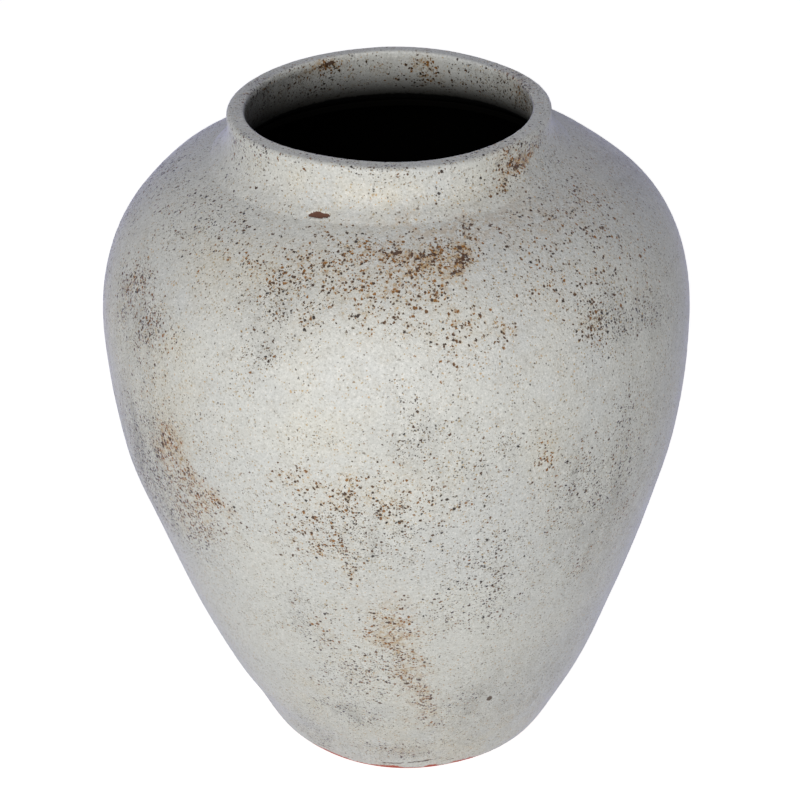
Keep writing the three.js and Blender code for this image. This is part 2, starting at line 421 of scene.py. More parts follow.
def turning_tree():
    """Carries a section round the axis, as a wheel turns clay past a rib."""
    sizes = {"Turn Steps": "NodeSocketInt", "Path Radius": "NodeSocketFloat"}
    tree, given, known = new_tree("turned_form", sizes)
    section = add(tree, "GeometryNodeMeshToCurve", {"Mesh": given.outputs["Geometry"]})
    path = add(tree, "GeometryNodeCurvePrimitiveCircle", {
        "Resolution": given.outputs["Turn Steps"], "Radius": given.outputs["Path Radius"]})
    form = add(tree, "GeometryNodeCurveToMesh", {"Curve": path, "Profile Curve": section})
    closed = add(tree, "GeometryNodeMergeByDistance", {"Geometry": form, "Distance": TOUCHING})
    smooth = add(tree, "GeometryNodeSetShadeSmooth", {"Geometry": closed})
    end_tree(tree, given, smooth)
    return tree, known


# Layers of the relief: name, detail of its noise, the noise's middle, swing, and the wear that holds it
RELIEF_LAYERS = (
    ("Swell", 0.0, 0.5, 2.0, None),
    ("Peel", 1.5, 0.5, 2.0, None),
    ("Scar", 2.0, 0.35, -2.0, "scar"),
)


def relief_tree():
    """Gives the fired skin its swellings, its orange peel, its scarred places and its chip."""
    tree, given, known = new_tree("glaze_relief", {size: "NodeSocketFloat" for size in RELIEF_SIZES})
    place = add(tree, "GeometryNodeInputPosition")
    marks = {}
    for kind in ("scar", "chip", "swelling", "lift"):
        marks[kind] = add(tree, "GeometryNodeInputNamedAttribute", {"Name": kind}, data_type="FLOAT")
    height = 0.0
    for name, detail, middle, swing, held in RELIEF_LAYERS:
        size, depth = given.outputs[name + " Size"], given.outputs[name + " Depth"]
        scale = add(tree, "ShaderNodeMath", {0: 1.0, 1: size}, operation="DIVIDE")
        layer = add(tree, "ShaderNodeTexNoise", {
            "Vector": place, "W": NOISE_SEED, "Scale": scale, "Detail": detail}, noise_dimensions="4D")
        steps = [("SUBTRACT", middle), ("MULTIPLY", swing), ("MULTIPLY", depth)]
        if held:
            steps.append(("MULTIPLY", marks[held]))
        for operation, value in steps:
            layer = add(tree, "ShaderNodeMath", {0: layer, 1: value}, operation=operation)
        height = add(tree, "ShaderNodeMath", {0: height, 1: layer}, operation="ADD")
    notch = add(tree, "ShaderNodeMath", {
        0: marks["chip"], 1: given.outputs["Chip Depth"]}, operation="MULTIPLY")
    for operation, value in (("SUBTRACT", notch), ("ADD", marks["swelling"]), ("MULTIPLY", marks["lift"])):
        height = add(tree, "ShaderNodeMath", {0: height, 1: value}, operation=operation)
    outward = add(tree, "GeometryNodeInputNamedAttribute", {"Name": "outward"}, data_type="FLOAT_VECTOR")
    push = add(tree, "ShaderNodeVectorMath", {0: outward, "Scale": height}, operation="SCALE")
    moved = add(tree, "GeometryNodeSetPosition", {"Geometry": given.outputs["Geometry"], "Offset": push})
    end_tree(tree, given, moved)
    return tree, known


def applied(piece, tree, known, values):
    """Runs a tree on a piece with its inputs set, and leaves the result as the piece's plain mesh."""
    modifier = piece.modifiers.new(tree.name, "NODES")
    modifier.node_group = tree
    for name, value in values.items():
        modifier[known[name]] = value
    graph = bpy.context.evaluated_depsgraph_get()
    made = bpy.data.meshes.new_from_object(
        piece.evaluated_get(graph), preserve_all_data_layers=True, depsgraph=graph)
    piece.modifiers.remove(modifier)
    old = piece.data
    piece.data = made
    bpy.data.meshes.remove(old)
    made.name = piece.name


def set_floats(mesh, name, values):
    """Writes a value for every point of a mesh."""
    layer = mesh.attributes.get(name) or mesh.attributes.new(name, "FLOAT", "POINT")
    layer.data.foreach_set("value", np.asarray(values, np.float32))


def read(items, name, kind=float, width=1):
    """One property of all the points, sides or faces of a mesh, as an array."""
    values = np.zeros(len(items) * width, kind)
    items.foreach_get(name, values)
    return values.reshape(-1, width) if width > 1 else values


def get_floats(mesh, name):
    """The values that set_floats wrote."""
    return read(mesh.attributes[name].data, "value", np.float32)


def get_places(mesh):
    """The places of all points of a mesh."""
    return read(mesh.vertices, "co", width=3)


# Worn places on the glaze: degrees from the front towards +X, height, half width round the vase,
# half length up the wall, lean in degrees and strength. Above the crease, at 485, the height goes on as
# the distance over the collar: about 517 under the lip, 530 on it and 545 to 575 inside the neck
RUST_PLACES = (
    (-21, 466, 34, 16, 0, 0.52), (-10, 467, 26, 16, 0, 0.57), (-1, 469, 22, 16, 0, 0.62),
    (6, 472, 18, 13, 0, 0.68), (13, 471, 17, 8, 38, 0.70), (16, 477, 10, 6, 25, 0.80),
    (2, 456, 13, 16, 0, 0.55), (9, 456, 7, 28, 0, 0.60), (14, 441, 12, 9, -22, 0.65),
    (18, 435, 5, 4, 0, 0.60), (33, 466, 10, 6, -10, 0.45), (31, 452, 12, 12, 0, 0.30),
    (-11, 338, 27, 13, 0, 0.62), (-3, 331, 14, 11, 0, 0.44), (5, 331, 14, 11, -15, 0.15),
    (6, 317, 18, 7, -10, 0.15), (-17, 282, 15, 10, 0, 0.50), (-11, 268, 4, 14, 0, 0.55),
    (-16, 305, 17, 16, 0, 0.35), (-47, 337, 9, 12, 0, 0.80), (-45, 323, 12, 12, 0, 0.80),
    (-39.5, 315, 15, 7, -35, 0.95), (-38.5, 296, 10, 9, 0, 0.85), (-43, 299, 12, 12, 0, 0.65),
    (-46, 308, 14, 14, 0, 0.60), (-42, 282, 16, 12, 0, 0.60), (-47, 268, 16, 12, 20, 0.55),
    (-4, 221, 14, 13, 0, 0.58), (-3, 201, 12, 18, 0, 0.70), (-2, 168, 8, 22, 0, 0.80),
    (-1, 146, 5, 8, 0, 0.80), (2, 147, 6, 8, 0, 0.80), (3, 124, 6, 14, 0, 0.80),
    (4, 98, 7, 10, 0, 0.70), (-17, 210, 4, 14, 0, 0.60), (-11, 155, 8, 18, 0, 0.45),
    (7, 76, 8, 6, 0, 0.30), (-18, 188, 6, 8, 0, 0.40), (48, 268, 12, 8, 0, 0.40),
    (26, 346, 5, 8, 40, 0.60), (38, 232, 5, 8, 0, 0.45), (54, 426, 14, 8, 0, 0.40),
    (37, 428, 10, 9, 0, 0.50), (-64, 431, 14, 11, 0, 0.70), (-54, 415, 9, 15, 0, 0.45),
    (-46, 412, 8, 5, 0, 0.40),
    (43, 513, 10, 7, 15, 1.00), (52, 513, 10, 5, 20, 0.95), (46, 507, 11, 5, 10, 0.75),
    (60, 518, 6, 5, 40, 0.60), (-151, 541, 10, 4.5, 0, 1.00), (110, 544, 15, 9, 0, 0.70),
    (163, 553, 7, 10, 0, 0.80), (178, 551, 14, 6, 0, 0.45),
    (54, 470, 40, 18, 0, 0.32), (50, 452, 34, 14, 0, 0.25),
)
DARK_PLACES = (
    (-54, 413, 10, 16, 0, 0.95), (-64, 428, 13, 13, 0, 0.95), (42, 423, 15, 11, -30, 0.90),
    (50, 415, 22, 9, -15, 0.75), (-25, 429, 10, 11, 0, 0.45), (-24, 454, 20, 12, 0, 0.40),
    (14, 474, 9, 9, 30, 0.70), (2, 380, 9, 15, 0, 0.75), (15, 355, 18, 17, 0, 0.30),
    (-7, 307, 21, 18, 0, 0.75), (-9, 296, 7, 7, 0, 0.80), (3, 306, 7, 5, 0, 0.50),
    (44, 362, 8, 12, 0, 0.50), (39, 304, 28, 22, 0, 0.55), (34, 330, 14, 12, 0, 0.35),
    (15, 262, 20, 22, 0, 0.55), (17, 228, 16, 16, 0, 0.50), (8, 215, 14, 12, 0, 0.30),
    (-57, 305, 22, 36, 0, 0.80), (-52, 265, 22, 17, 0, 0.65), (-22, 205, 8, 22, 0, 0.40),
    (-15, 140, 16, 22, 0, 0.45), (-16, 93, 18, 10, 0, 0.60), (-5, 40, 18, 9, 0, 0.60),
    (-34, 40, 18, 18, 0, 0.40), (-5, 160, 10, 16, 0, 0.40), (14, 100, 12, 24, 0, 0.25),
    (50, 513, 14, 6, 15, 0.85), (36, 524, 15, 3, 0, 0.80), (66, 513, 6, 14, 0, 0.60),
    (-62, 510, 14, 10, 0, 0.55), (-51, 479, 14, 10, 0, 0.35),
    (-7, 527, 9, 4, 0, 0.80), (-52, 529, 24, 5, 0, 0.72), (-118, 538, 24, 5, 0, 0.65),
    (109, 546, 26, 14, 0, 1.00), (150, 552, 40, 12, 0, 0.35), (-150, 556, 40, 12, 0, 0.35),
    (20, 508, 16, 10, 0, 0.25), (45, 478, 44, 8, 0, 0.30), (-58, 474, 34, 16, 0, 0.40),
    # The dark specks at (-115, 552) are placed as painted shade on the left inside of the neck, away from the
    # lamp
    (-115, 552, 34, 14, 0, 0.90), (8, 527, 80, 4.5, 0, 0.50), (-64, 275, 16, 30, 0, 0.60),
    (-56, 322, 14, 20, 0, 0.85), (-56, 296, 14, 20, 0, 0.80), (-53, 272, 14, 16, 0, 0.60),
)
SMUDGE_PLACES = (
    (-58, 300, 36, 45, 0, 0.95), (2, 378, 22, 30, 0, 0.35), (15, 354, 24, 26, 0, 0.24),
    (38, 300, 34, 40, 0, 0.50), (-6, 296, 26, 24, 0, 0.35), (-16, 92, 24, 14, 0, 0.60),
    (15, 105, 16, 44, -40, 0.32), (-34, 38, 26, 24, 0, 0.40), (-22, 205, 12, 26, 0, 0.35),
    (38, 120, 30, 60, -30, 0.25), (-25, 430, 16, 16, 0, 0.40), (48, 418, 26, 16, -15, 0.45),
    (-58, 415, 26, 22, 0, 0.50), (-25, 455, 26, 12, 0, 0.35),
    (60, 330, 40, 80, 0, 0.30), (44, 240, 30, 30, 0, 0.35), (0, 38, 30, 10, 0, 0.35),
    # The smudge at (-112, 552) greys the left inside of the neck as painted shade, away from the lamp
    (17, 75, 10, 22, 0, 0.50), (38, 85, 20, 26, 0, 0.45), (-112, 552, 44, 16, 0, 0.95),
    (48, 505, 24, 14, 0, 0.60), (-66, 265, 20, 40, 0, 0.70), (106, 548, 30, 15, 0, 0.75),
)
CREAM_PLACES = (
    (-46, 375, 24, 42, 0, 0.45), (27, 400, 20, 60, 0, 0.12), (27, 340, 14, 40, 0, 0.22),
    (-41, 465, 30, 18, 0, 0.50), (-12, 400, 30, 40, 0, 0.25), (-27, 110, 10, 24, 0, 0.50),
    (26, 35, 34, 30, 0, 0.50), (-4, 222, 18, 22, 0, 0.20), (-18, 503, 40, 12, 0, 0.55),
    (12, 503, 40, 12, 0, 0.50), (-10, 60, 60, 40, 0, 0.35),
)
FILM_PLACES = (
    (8.5, 476, 9, 5, 15, 0.70), (13.5, 472, 12, 3.5, 45, 0.70), (0, 477, 10, 4, 0, 0.40),
    (0.5, 464.6, 4, 3, 0, 0.70), (12, 484, 34, 4, 0, 0.35), (47, 513, 13, 6, 15, 0.25),
    (-1, 476, 3.5, 4.5, -12, 0.70), (5.5, 472, 4, 3.5, 20, 0.70), (11.6, 468, 3.5, 4, 20, 0.70),
    (14, 472, 4.5, 3.5, 45, 0.70), (16, 476, 3.5, 3.5, 30, 0.70), (42, 515, 7, 5, 20, 0.68),
    (50, 514, 6, 4, 30, 0.66), (55, 513, 5, 3, 30, 0.62), (45, 509, 8, 3.5, 20, 0.62),
    (-47, 338, 12, 10, 0, 0.60), (-39, 315, 13, 6, -35, 0.40), (-4, 226, 12, 14, 0, 0.25),
    (-3, 198, 9, 16, 0, 0.40), (0, 150, 6, 22, 0, 0.40), (3, 112, 6, 18, 0, 0.40),
    (-5, 38, 16, 5, 0, 0.35), (40, 478, 60, 10, 0, 0.25), (24, 482, 24, 8, 0, 0.25),
    (-151, 540.5, 9, 3.5, 0, 0.90), (165, 550, 6, 4, 0, 0.60), (160, 558, 4, 3, 0, 0.60),
)
BLOT_PLACES = (
    (21, 102, 2.2, 2.6, 0, 1.0), (37, 115, 1.8, 2.2, 0, 0.7), (-8, 114, 2.2, 1.6, 0, 0.8),
    (57, 456, 1.8, 2.4, 0, 0.7), (-1, 142, 2.2, 2.0, 0, 0.9), (22, 281, 1.8, 1.6, 0, 0.7),
    (2, 146, 2.2, 2.0, 0, 0.8), (-13, 14.2, 8.0, 1.1, 0, 0.60),
    (-7.5, 15.6, 9.0, 1.2, 0, 0.65), (-0.5, 18, 8.0, 1.1, 2, 0.65), (4.5, 20, 8.0, 1.2, 3, 0.70),
    (10, 22, 6.0, 1.0, 3, 0.60), (12.5, 15.6, 6.0, 1.1, 0, 0.60), (-35, 16, 9.0, 1.6, 0, 0.60),
    (-6, 526.5, 6.0, 1.0, 0, 0.55),
)
CHIP_PLACES = (
    (-23.2, 489.9, 6.0, 1.3, 8, 1.0), (-23.4, 490.9, 2.6, 1.6, 8, 1.0), (-20.8, 490.1, 2.6, 0.9, 14, 0.95),
)
BARE_PLACES = (
    (-9, 2, 13, 8, 0, 1.0), (6.5, 2, 6, 8, 0, 1.0), (15.5, 2, 6, 7, 0, 1.0), (21, 2, 9, 7, 0, 1.0),
    (-32, 2, 20, 8, 0, 1.0), (52, 2, 22, 5, 0, 0.9), (88, 2, 14, 7, 0, 1.0), (124, 2, 30, 6, 0, 1.0),
    (165, 2, 18, 8, 0, 1.0), (-158, 2, 24, 7, 0, 1.0), (-118, 2, 14, 8, 0, 1.0), (-78, 2, 26, 6, 0, 1.0),
)

# Slow swellings and hollows of the hand-built wall, placed like the wear, with how far each stands out
SWELLINGS = (
    (-118, 472, 60, 22, 0, 2.6), (-92, 444, 40, 20, 0, 1.0), (104, 463, 60, 18, 0, -2.3),
    (-66, 272, 45, 24, 0, 2.1), (66, 272, 45, 26, 0, 1.3), (56, 75, 40, 40, 0, 2.2),
    (-50, 36, 40, 18, 0, -2.6), (-62, 190, 40, 25, 0, -0.8), (36, 14, 30, 14, 0, 1.5),
)

# The unseen side wears in the same way, at places drawn with a fixed seed
BACK_FROM = 72.0
BACK_HEIGHTS = (40.0, 482.0)
BACK_GROWTH = (0.8, 1.3)
BACK_LEAN = (-40.0, 40.0)
BACK_SEED = 11
BACK_COUNTS = {"rust": 34, "dark": 26, "smudge": 16, "cream": 10, "film": 4, "blot": 8}
FRONT_PLACES = {
    "rust": RUST_PLACES, "dark": DARK_PLACES, "smudge": SMUDGE_PLACES, "cream": CREAM_PLACES,
    "film": FILM_PLACES, "blot": BLOT_PLACES, "chip": CHIP_PLACES, "bare": BARE_PLACES,
}
WEAR_AND_SHADE_KINDS = (*FRONT_PLACES, "painted_neck_shade", "slip_and_shade")


def all_places():
    """The places of each kind of wear, with those of the unseen side drawn after the same sizes."""
    draw = np.random.default_rng(BACK_SEED)
    places = {}
    for kind, front in FRONT_PLACES.items():
        rows = list(front)
        for _ in range(BACK_COUNTS.get(kind, 0)):
            _, _, half_width, half_length, _, strength = front[draw.integers(len(front))]
            turn = draw.uniform(BACK_FROM, 360 - BACK_FROM)
            height = draw.uniform(*BACK_HEIGHTS)
            half_width *= draw.uniform(*BACK_GROWTH)
            half_length *= draw.uniform(*BACK_GROWTH)
            rows.append((turn, height, half_width, half_length, draw.uniform(*BACK_LEAN), strength))
        places[kind] = rows
    return places


# How many half sizes away a place no longer matters
FAR = 4


def reached(place, turn, radius, along):
    """The points near a place, and how far it reaches each of them, from 0 to 1."""
    degrees, height, half_width, half_length, lean, _ = place
    across = (np.mod(turn - degrees + 180, 360) - 180) * np.radians(1) * radius
    up = along - length_at(height)
    far = FAR * (half_width + half_length)
    near = np.flatnonzero((np.abs(across) < far) & (np.abs(up) < far))
    cosine = math.cos(math.radians(lean))
    sine = math.sin(math.radians(lean))
    x = (across[near] * cosine + up[near] * sine) / half_width
    y = (up[near] * cosine - across[near] * sine) / half_length
    return near, np.exp(-0.5 * (x * x + y * y))


def wear(places, turn, radius, along):
    """How strongly places of one kind mark each point, from 0 to 1."""
    left = np.ones(len(turn))
    for place in places:
        near, reach = reached(place, turn, radius, along)
        left[near] *= 1 - place[-1] * reach
    return 1 - left


def swelling(turn, radius, along):
    """How far the hand-built wall stands out of its turned form at each point."""
    total = np.zeros(len(turn))
    for place in SWELLINGS:
        near, reach = reached(place, turn, radius, along)
        total[near] += place[-1] * reach
    return total


WAVES = 5


def waver(places, size, seed):
    """A slow wandering, mostly from -1 to 1, from a few crossing waves of about this size."""
    draw = np.random.default_rng(seed)
    total = np.zeros(len(places))
    for _ in range(WAVES):
        direction = draw.normal(size=3)
        direction *= 2 * math.pi / (size * MM) / np.linalg.norm(direction)
        total += np.sin(places @ direction + draw.uniform(0, 2 * math.pi))
    return total / (WAVES / 2)


# Edges of the worn places wander, apart from the sharp kinds
SHARP_KINDS = ("chip", "blot", "bare")
WANDER_SIZE = 34.0
WANDER_REACH = 5.0
TURN_SEED = 3
ALONG_SEED = 4
CHIP_SHARPNESS = 6.0

# Bare clay at the foot, dark slip that seals the inside, black as painted shade of the unlit inside, and
# painted
# shade from it up the neck to the lip, strongest on the left inside, which faces away from the lamp:
# heights, the lengths over which they fade, the lip's inner edge from the crease, and the painted shade's
# strength
BARE_HEIGHT = 2.5
BARE_FADE = 1.6
SLIP_SHADE_HEIGHT = 482.5
SLIP_SHADE_FADE = 5.0
LIP_INNER_EDGE = 53.0
SHADE_BEGIN = HEIGHT - 6.0
SHADE_FADE = 4.0
SHADE_CURVE = 1.5
SHADE_TOP = 0.29
SHADE_SIDE = 0.40
SHADE_SIDE_TURN = -100.0


def mark_wear(mesh, places):
    """Writes how worn and how swollen each point of a skin is, for the relief and the glaze."""
    co = get_places(mesh)
    height = co[:, 2] / MM
    radius = np.hypot(co[:, 0], co[:, 1]) / MM
    turn = np.degrees(np.arctan2(co[:, 0], -co[:, 1]))
    along = get_floats(mesh, "along") / MM
    astray = WANDER_REACH * waver(co, WANDER_SIZE, TURN_SEED)
    turn_astray = turn + np.degrees(astray / np.maximum(radius, 1))
    along_astray = along + WANDER_REACH * waver(co, WANDER_SIZE, ALONG_SEED)
    skin = get_floats(mesh, "skin") > 0.5
    for kind, rows in places.items():
        across, up = (turn, along) if kind in SHARP_KINDS else (turn_astray, along_astray)
        values = np.zeros(len(co))
        values[skin] = wear(rows, across[skin], radius[skin], up[skin])
        if kind == "chip":
            values = np.clip((values - 0.5) * CHIP_SHARPNESS, 0, 1)
        if kind == "bare":
            values = np.maximum(values, np.clip((BARE_HEIGHT - height) / BARE_FADE + 0.5, 0, 1))
        set_floats(mesh, kind, values)
    set_floats(mesh, "swelling", swelling(turn, radius, along) * skin * MM)
    set_floats(mesh, "scar", np.clip(get_floats(mesh, "rust") + get_floats(mesh, "dark"), 0, 1))

    past_lip = along - WALL_LENGTH - LIP_INNER_EDGE
    # The dark slip below stands black, as painted shade of the unlit inside
    set_floats(mesh, "slip_and_shade", np.clip((SLIP_SHADE_HEIGHT - height) / SLIP_SHADE_FADE + 0.5, 0, 1) * (past_lip > 0))
    # Painted shade inside the neck: darkest at the slip, lighter up to the lip, and most on the left inside,
    # away from the lamp
    depth = np.clip((SHADE_BEGIN - height) / (SHADE_BEGIN - SLIP_SHADE_HEIGHT), 0, 1)
    top = SHADE_TOP + SHADE_SIDE * np.clip(np.cos(np.radians(turn - SHADE_SIDE_TURN)), 0, 1) ** 2
    set_floats(mesh, "painted_neck_shade", (top + (1 - top) * depth ** SHADE_CURVE) * np.clip(past_lip / SHADE_FADE, 0, 1))


def sag_lip(mesh):
    """Lowers the lip towards the front right, where the soft collar sagged before it was fired."""
    co = get_places(mesh)
    towards = math.radians(LIP_SAG_TURN)
    across = co[:, 0] * math.sin(towards) - co[:, 1] * math.cos(towards)
    fall = eased(across / MM, LIP_SAG_FROM, LIP_SAG_TO) * eased(co[:, 2] / MM, CREASE_HEIGHT, HEIGHT)
    co[:, 2] -= LIP_SAG * MM * fall
    mesh.vertices.foreach_set("co", co.ravel())


SKIN_KINDS = ("skin", "neck")


def chain_from_axis(points):
    """Edges in order for a section that begins and ends on the axis."""
    start = next(i for i in range(len(points)) if points[i, 0] < TINY and points[i - 1, 0] < TINY)
    order = [(start + i) % len(points) for i in range(len(points))]
    return np.stack([order[:-1], order[1:]], axis=1)


def turned_piece(name, outline, finish):
    """Turns an outline into a closed mesh, with its kinds of surface kept by row."""
    points, outward, along, lift, kinds = (column[::-1] for column in outline.columns())
    count = len(points)
    mesh = bpy.data.meshes.new(name)
    swept = np.stack([points[:, 0] - PATH_RADIUS, -points[:, 1], np.zeros(count)], axis=1) * MM
    edges = np.stack([np.arange(count), np.roll(np.arange(count), -1)], axis=1)
    if points[:, 0].min() < TINY:
        edges = chain_from_axis(points)
    mesh.from_pydata(swept.tolist(), edges.tolist(), [])
    set_floats(mesh, "row", np.arange(count))
    set_floats(mesh, "along", along * MM)
    set_floats(mesh, "lift", lift)
    set_floats(mesh, "skin", np.isin(kinds, SKIN_KINDS))
    set_floats(mesh, "outward_r", outward[:, 0])
    set_floats(mesh, "outward_z", outward[:, 1])
    piece = placed(name, mesh)
    applied(piece, *TURNING, {"Turn Steps": TURN_STEPS, "Path Radius": PATH_RADIUS * MM, "Finish": finish})
    return piece, kinds


def face_kinds(mesh, kinds):
    """The kind of surface of each face, from the kinds of the rows that it joins."""
    sides = read(mesh.loops, "vertex_index", np.int32)
    starts = read(mesh.polygons, "loop_start", np.int32)
    rows = np.rint(get_floats(mesh, "row")).astype(int)[sides]
    first = np.minimum.reduceat(rows, starts)
    last = np.maximum.reduceat(rows, starts)
    low, high = kinds[first], kinds[last]
    found = np.full(len(starts), "joint", dtype=object)
    for kind in ("skin", "neck", "inside", "bare"):
        found[(low == kind) & (high == kind)] = kind
    for one, other in (("bare", "skin"), ("skin", "neck")):
        found[(low == one) & (high == other) | (low == other) & (high == one)] = one
    return found


def finish_faces(piece, kinds, finishes):
    """Gives each face the finish of its kind of surface."""
    mesh = piece.data
    found = face_kinds(mesh, kinds)
    mesh.materials.clear()
    for material in finishes.values():
        mesh.materials.append(material)
    order = list(finishes)
    indices = np.array([order.index(kind if kind in order else "inside") for kind in found], np.int32)
    mesh.polygons.foreach_set("material_index", indices)
    return found


# Numbers of the groups that share a normal: skin points by level and turn, in millimetres and steps,
# then every other point's own, with room for the kinds of face that meet at it
SAME_LEVEL = 0.1
FIRST_OWN = 10**9
OWN_KINDS = 4


def share_normals(skins):
    """Gives the glaze one smooth normal across the joints, so none shows in it; a joint's faces stay flat."""
    groups, weighted, flat = [], [], []
    first_own = FIRST_OWN
    for piece, found in skins:
        mesh = piece.data
        sides = read(mesh.loops, "vertex_index", np.int32).astype(np.int64)
        owner = np.repeat(np.arange(len(mesh.polygons)), read(mesh.polygons, "loop_total", np.int32))
        co = get_places(mesh)
        turn = np.rint(np.arctan2(co[:, 1], co[:, 0]) / (2 * math.pi) * TURN_STEPS).astype(np.int64)
        level = np.rint(get_floats(mesh, "along") / (SAME_LEVEL * MM)).astype(np.int64)
        shared = (level * TURN_STEPS + turn % TURN_STEPS)[sides]
        apart = (found == "inside") * 1 + (found == "bare") * 2
        own = first_own + sides * OWN_KINDS + apart[owner]
        groups.append(np.where(np.isin(found, SKIN_KINDS)[owner], shared, own))
        faces_out = read(mesh.polygons, "normal", width=3) * read(mesh.polygons, "area")[:, None]
        weighted.append(faces_out[owner])
        flat.append((found == "joint")[owner])
        first_own += len(mesh.vertices) * OWN_KINDS
    together = np.concatenate(weighted)
    _, group = np.unique(np.concatenate(groups), return_inverse=True)
    total = np.stack([np.bincount(group, together[:, axis]) for axis in range(3)], axis=1)
    smooth = np.where(np.concatenate(flat)[:, None], together, total[group])
    smooth /= np.maximum(np.linalg.norm(smooth, axis=1, keepdims=True), TINY)
    start = 0
    for piece, _ in skins:
        count = len(piece.data.loops)
        piece.data.normals_split_custom_set(smooth[start:start + count])
        start += count


# Finishes

def per(size):
    """The scale of a pattern whose features are this many millimetres across."""
    return 1 / (size * MM)


def new_finish(name):
    """A material with an empty tree, and the Object coordinates that its patterns read."""
    material = bpy.data.materials.new(name)
    material.use_nodes = True
    tree = material.node_tree
    tree.nodes.clear()
    return material, tree, add(tree, "ShaderNodeTexCoord").outputs["Object"]


def end_finish(tree, colour, rough, height, strength, depth, more):
    """Ends a finish in one shader, with its fine relief as a bump of a depth in millimetres."""
    bump = add(tree, "ShaderNodeBump", {"Height": height, "Strength": strength, "Distance": depth * MM})
    shader = add(tree, "ShaderNodeBsdfPrincipled", {
        "Base Color": colour, "Roughness": rough, "Normal": bump, **more})
    add(tree, "ShaderNodeOutputMaterial", {"Surface": shader})


# The glaze's patterns: size in millimetres, detail and roughness
GLAZE_PATTERNS = {
    "cloud": (75.0, 3.0, 0.55), "patch": (24.0, 3.0, 0.60), "clump": (13.0, 3.5, 0.65),
    "mottle": (9.0, 3.0, 0.60), "ragged": (3.4, 3.0, 0.62), "fleck": (3.6, 3.0, 0.65),
    "shake": (1.9, 2.0, 0.60), "grain": (1.5, 2.0, 0.70), "stroke": (11.0, 3.5, 0.65),
}

# Brush strokes: how far they lean, in radians, and how far they are drawn out
STROKE_TURN = 0.6
STROKE_STRETCH = 0.28

# Coats over the first one: pattern, the wear that holds it, the pattern's span, least and most cover, colour
FIRST_COAT = "#c9cccb"
GLAZE_COATS = (
    ("cloud", None, 0.36, 0.64, 0.0, 1.0, "#ced0cc"),
    ("patch", "cream", 0.30, 0.62, 0.0, 0.55, "#d3c9ab"),
    ("stroke", "smudge", 0.36, 0.66, 0.15, 0.90, "#929391"),
    ("mottle", None, 0.48, 0.70, 0.0, 0.20, "#a9a394"),
    ("grain", None, 0.50, 0.74, 0.0, 0.45, "#827e74"),
    ("grain", None, 0.48, 0.26, 0.0, 0.50, "#f2f1ed"),
    ("mottle", "rust", 0.36, 0.62, 0.0, 0.16, "#cfc19c"),
    ("fleck", "rust", 0.55, 0.63, 0.0, 0.60, "#a3803f"),
    ("fleck", "film", 0.43, 0.56, 0.0, 0.72, "#a17c42"),
)

# Specks in cells, real ones being down to half as wide as these, which are as fine as the picture shows:
# cell size, share of cells with no wear, shares that wear adds, least and most radius in cells, cover,
# and colours from the darkest to the warmest
GLAZE_SPECKS = {
    "sand": (1.8, (0.14, 0.66), {"rust": 0.2, "cream": 0.4}, (0.22, 0.48), 0.70,
             ("#7a6a45", "#a08444", "#b98d44")),
    "pepper": (1.5, (0.03, 0.28), {"rust": 0.2, "dark": 0.9, "smudge": 0.6}, (0.24, 0.52), 0.88,
               ("#2a2218", "#4a3b25", "#7b6138")),
    "bleed": (2.0, (0.00, 0.06), {"rust": 0.9}, (0.36, 0.85), 0.45,
              ("#9a8454", "#ab864a", "#b78a42")),
    "iron": (2.0, (0.00, 0.04), {"rust": 0.90, "dark": 0.60}, (0.27, 0.72), 0.97,
             ("#1a120c", "#432b16", "#875a22")),
}
SPECK_SHAKE = 2.7
SPECK_FADE = 0.06
SPECK_CORE = 0.7

# Where specks lie close: spans of the patterns, and how far clumps thin out and thicken the worn places
PATCH_SPAN = (0.36, 0.66)
CLUMP_SPAN = (0.38, 0.62)
CLUMP_SWING = (0.25, 1.75)

# What wear adds to a speck's warmth, and the spans of warmth over which the colours change
SPECK_WARMTH = {"rust": 0.30, "dark": -0.15, "film": 0.4, "cream": 0.25}
WARMTH_SPANS = ((0.15, 0.55), (0.65, 1.05))

# Bare edges over all the coats: wear, raggedness, span, cover and colour
GLAZE_EDGES = (
    ("film", 3.4, 0.68, 0.88, 0.92, "#40240d"),
    ("blot", 1.1, 0.42, 0.62, 0.90, "#42290f"),
    ("chip", 1.1, 0.36, 0.50, 1.0, "#5f3f31"),
    ("bare", 0.6, 0.40, 0.60, 1.0, "#b84e28"),
    # Painted shade down the inside of the neck
    ("painted_neck_shade", 0.0, 0.0, 1.0, 0.93, "#1c1a16"),
    # Dark slip, black as painted shade of the unlit inside
    ("slip_and_shade", 1.0, 0.20, 0.80, 1.0, "#020201"),
)

# Satin coat: how rough it is over the grain's span, what a speck adds, and how rough dry places are
GLAZE_IOR = 1.5
GRAIN_SPAN = (0.3, 0.7)
SATIN = (0.42, 0.56)
SPECK_ROUGHNESS = 0.22
DRY_ROUGHNESS = 0.9
SPECK_PIT = -0.6
GRAIN_BUMP = 0.6
GRAIN_DEPTH = 0.8
BLOOM_ROUGHNESS = 0.22
BLOOM_COLOUR = "#bcbff0"


